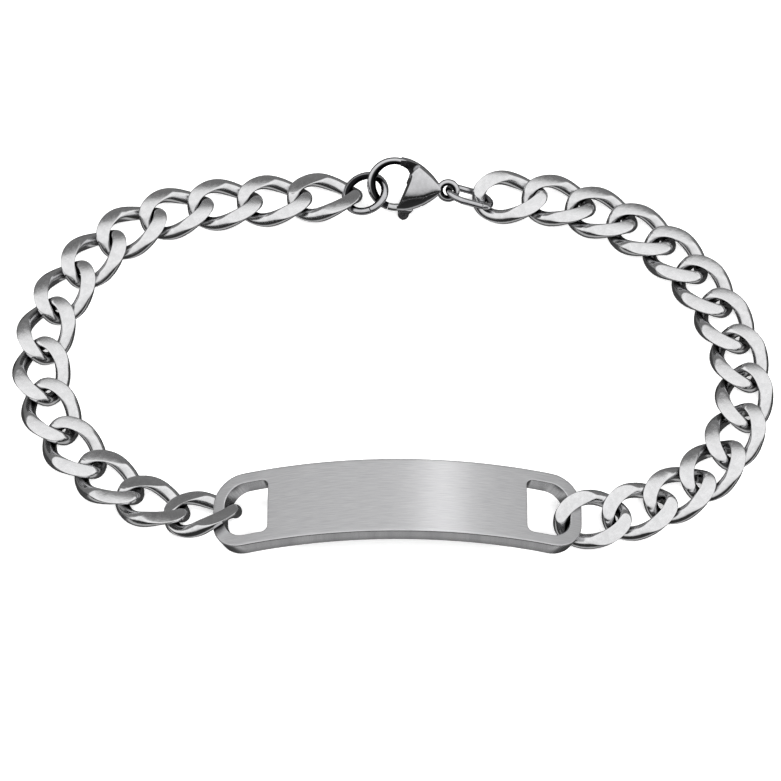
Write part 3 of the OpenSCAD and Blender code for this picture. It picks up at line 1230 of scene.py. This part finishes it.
@dataclass(frozen=True)
class Studio:
    """Floor, lamps, sky and camera.

    Each sky is a table of (sine of the angle above the horizon, level).
    """

    aim_mm: Place = (-0.19, -3.48, 0.0)
    elevation: float = math.radians(57.5)
    distance: float = 0.55
    lens_mm: float = 211.9
    sensor_mm: float = 36.0
    clip: Pair = (0.01, 20.0)
    floor_size: float = 4.0
    paper: str = "F4F4F4"
    paper_roughness: float = 0.9
    paper_glow: float = 0.45
    softboxes: tuple[tuple[str, Place], ...] = (
        ("left", (-0.75, 0.35, 1.1)),
        ("right", (0.8, 0.1, 1.1)),
        ("front", (0.1, -0.8, 1.1)),
    )
    softbox_size: Pair = (0.6, 0.6)
    softbox_watts: float = 8.5
    strip_at: Place = (0.24, 0.35, 1.15)
    strip_size: Pair = (0.16, 1.0)
    strip_watts: float = 0.6
    front_sky: Table = (
        (-1.0, 0.06), (-0.94, 0.10), (-0.88, 0.50), (-0.72, 0.47), (-0.60, 0.04),
        (0.20, 0.02), (0.34, 0.50), (0.50, 0.80), (1.0, 0.95),
    )
    back_sky: Table = (
        (-1.0, 0.06), (-0.45, 0.05), (-0.20, 0.16), (0.50, 0.20), (0.70, 0.17),
        (0.755, 0.26), (0.80, 0.88), (0.86, 0.98), (1.0, 0.97),
    )
    sky_blend: float = 0.25

    def floor(self) -> None:
        """Lays a wide white floor that glows faintly, so shadows on it stay light.

        The steel doesn't mirror the floor: it mirrors the sky's grey lower half instead.
        """
        half = self.floor_size / 2
        mesh = bpy.data.meshes.new("floor")
        corners = [(-half, -half, 0), (half, -half, 0), (half, half, 0), (-half, half, 0)]
        mesh.from_pydata(corners, [], [(0, 1, 2, 3)])
        paper = bpy.data.materials.new("matt_white_paper")
        paper.use_nodes = True
        glow = {"Emission Color": linear("FFFFFF"), "Emission Strength": self.paper_glow}
        face = {"Base Color": linear(self.paper), "Roughness": self.paper_roughness, **glow}
        add_node(paper.node_tree, "Principled BSDF", face)
        mesh.materials.append(paper)
        floor = add_object("floor", mesh)
        floor.visible_glossy = False

    def sky(self) -> None:
        """Fills the room: a pale ceiling over dark walls, and a grey bench below the horizon.

        The room is long from left to right, so its level depends on a direction's angle about X
        alone: on the sine of that angle, once for the front half and once for the back half, which
        blend across the middle.
        """
        world = bpy.data.worlds.new("studio")
        bpy.context.scene.world = world
        world.use_nodes = True
        tree = world.node_tree
        place = add_node(tree, "ShaderNodeTexCoord").outputs["Generated"]
        flat = add_node(tree, "ShaderNodeVectorMath", {0: place, 1: (0, 1, 1)}, operation="MULTIPLY")
        about = add_node(tree, "ShaderNodeVectorMath", {0: flat.outputs[0]}, operation="NORMALIZE")
        split = add_node(tree, "ShaderNodeSeparateXYZ", {0: about.outputs[0]})
        height = add_node(tree, "ShaderNodeMapRange", {"Value": split.outputs["Z"], "From Min": -1.0})
        ends = {"From Min": -self.sky_blend, "From Max": self.sky_blend}
        side = add_node(tree, "ShaderNodeMapRange", {"Value": split.outputs["Y"], **ends})
        levels = []
        for stops in (self.front_sky, self.back_sky):
            ramp = add_node(tree, "ShaderNodeValToRGB", {0: height.outputs[0]})
            while len(ramp.color_ramp.elements) < len(stops):
                ramp.color_ramp.elements.new(0.5)
            for element, (sine, level) in zip(ramp.color_ramp.elements, stops):
                element.position = (sine + 1) / 2
                element.color = (level, level, level, 1)
            levels.append(ramp.outputs[0])
        halves = {"Factor": side.outputs[0], 6: levels[0], 7: levels[1]}
        blend = add_node(tree, "ShaderNodeMix", halves, data_type="RGBA")
        add_node(tree, "Background", {"Color": blend.outputs[2]})

    def lamp(self, name: str, at: Place, size: Pair, watts: float) -> Piece:
        """Hangs a soft lamp that faces the bracelet, its width level with X.

        Polished metal shows the sky and not the lamp.

        Args:
            name: name of the lamp.
            at: its place in metres.
            size: its width and length in metres.
            watts: its power.

        Returns:
            The lamp.
        """
        data = bpy.data.lights.new(name, "AREA")
        data.shape = "RECTANGLE"
        data.size, data.size_y = size
        data.energy = watts
        lamp = add_object(name, data)
        lamp.location = at
        back = Vector(at).normalized()
        across = (Vector(X_AXIS) - back * back.x).normalized()
        lamp.rotation_mode = "QUATERNION"
        lamp.rotation_quaternion = Matrix((across, back.cross(across), back)).transposed().to_quaternion()
        lamp.visible_glossy = False
        return lamp

    def strip(self, piece: Piece) -> None:
        """Hangs a strip lamp that one piece alone is lit by and mirrors, as a bright band.

        Args:
            piece: the piece.
        """
        lamp = self.lamp("strip", self.strip_at, self.strip_size, self.strip_watts)
        lamp.visible_glossy = True
        lit = bpy.data.collections.new("strip_lit")
        lit.objects.link(piece)
        lamp.light_linking.receiver_collection = lit

    def camera(self) -> None:
        """Sets a long lens that looks down on the bracelet from in front."""
        data = bpy.data.cameras.new("camera")
        data.lens = self.lens_mm
        data.sensor_width = self.sensor_mm
        data.clip_start, data.clip_end = self.clip
        camera = add_object("camera", data)
        back = Vector((0, -math.cos(self.elevation), math.sin(self.elevation)))
        camera.location = Vector(self.aim_mm) * MM + back * self.distance
        camera.rotation_mode = "QUATERNION"
        camera.rotation_quaternion = (-back).to_track_quat("-Z", "Y")
        bpy.context.scene.camera = camera

    def build(self) -> None:
        """Sets the whole studio up, but for the strip lamp, which waits for the plate."""
        self.floor()
        self.sky()
        for name, at in self.softboxes:
            self.lamp(name, at, self.softbox_size, self.softbox_watts)
        self.camera()
        bpy.context.scene.view_settings.view_transform = "Standard"


def main() -> None:
    """Builds the studio and every sub-assembly, in order, and reports each piece."""
    logging.basicConfig(level=logging.INFO)
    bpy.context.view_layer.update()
    studio = Studio()
    studio.build()
    looks = {slot: finish.build() for slot, finish in FINISHES.items()}
    pieces = {}
    for part in (CurbChain(Side.LEFT), CurbChain(Side.RIGHT), JumpRings(), IdPlate(), LobsterClasp()):
        for piece in part.build(looks):
            pieces[piece.name] = piece
            LOG.info("piece %s, %d faces", piece.name, len(piece.data.polygons))
    studio.strip(pieces["id_plate"])


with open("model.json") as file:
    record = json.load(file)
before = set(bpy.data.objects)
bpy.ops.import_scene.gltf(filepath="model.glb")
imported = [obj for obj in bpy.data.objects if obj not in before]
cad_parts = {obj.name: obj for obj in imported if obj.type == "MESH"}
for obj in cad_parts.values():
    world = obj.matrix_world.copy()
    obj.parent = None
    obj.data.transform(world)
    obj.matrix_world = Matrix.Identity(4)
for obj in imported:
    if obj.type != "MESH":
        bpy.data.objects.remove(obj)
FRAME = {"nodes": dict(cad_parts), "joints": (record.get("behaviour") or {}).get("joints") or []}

if __name__ == "__main__":
    main()
